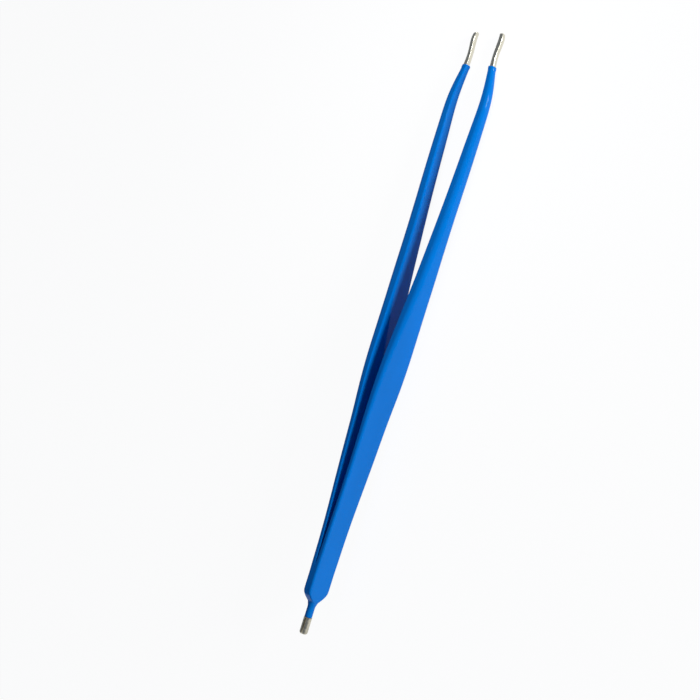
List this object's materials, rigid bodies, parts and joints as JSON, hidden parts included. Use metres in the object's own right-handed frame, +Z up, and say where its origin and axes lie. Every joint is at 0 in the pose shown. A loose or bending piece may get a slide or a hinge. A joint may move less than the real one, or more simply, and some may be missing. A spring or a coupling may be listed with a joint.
{
  "type": "monopolar diathermy forceps",
  "caption": "Long sprung surgical forceps in a blue insulating coat, with bare bent tips and a split round connector pin.",
  "frame": {"origin": "centre of the footprint at table height, as the forceps comes to rest", "axes": "+X runs from the connector pin to the tips, +Y is towards the left blade, +Z is up from the table"},
  "size_m": [0.2992, 0.0262, 0.0199],
  "materials": {
    "coat": "smooth glossy insulating coat",
    "blade": "satin stainless steel",
    "pin": "dull turned metal"
  },
  "bodies": {
    "connector": {"connector_pin": "pin", "neck_insulation": "coat"},
    "left_arm": {"left_blade": "blade", "left_insulation": "coat"},
    "right_arm": {"right_blade": "blade", "right_insulation": "coat"}
  },
  "joints": [
    {"name": "left_flex", "type": "hinge", "parent": "connector", "child": "left_arm", "pos_m": [-0.11874, 0, 0.01284], "axis": [-0.0437, 0, -0.999], "range_deg": [0, 1.45], "stiffness_Nm_per_rad": 11},
    {"name": "right_flex", "type": "hinge", "parent": "connector", "child": "right_arm", "pos_m": [-0.11874, 0, 0.01284], "axis": [0.0437, 0, 0.999], "range_deg": [0, 1.45], "stiffness_Nm_per_rad": 11}
  ]
}
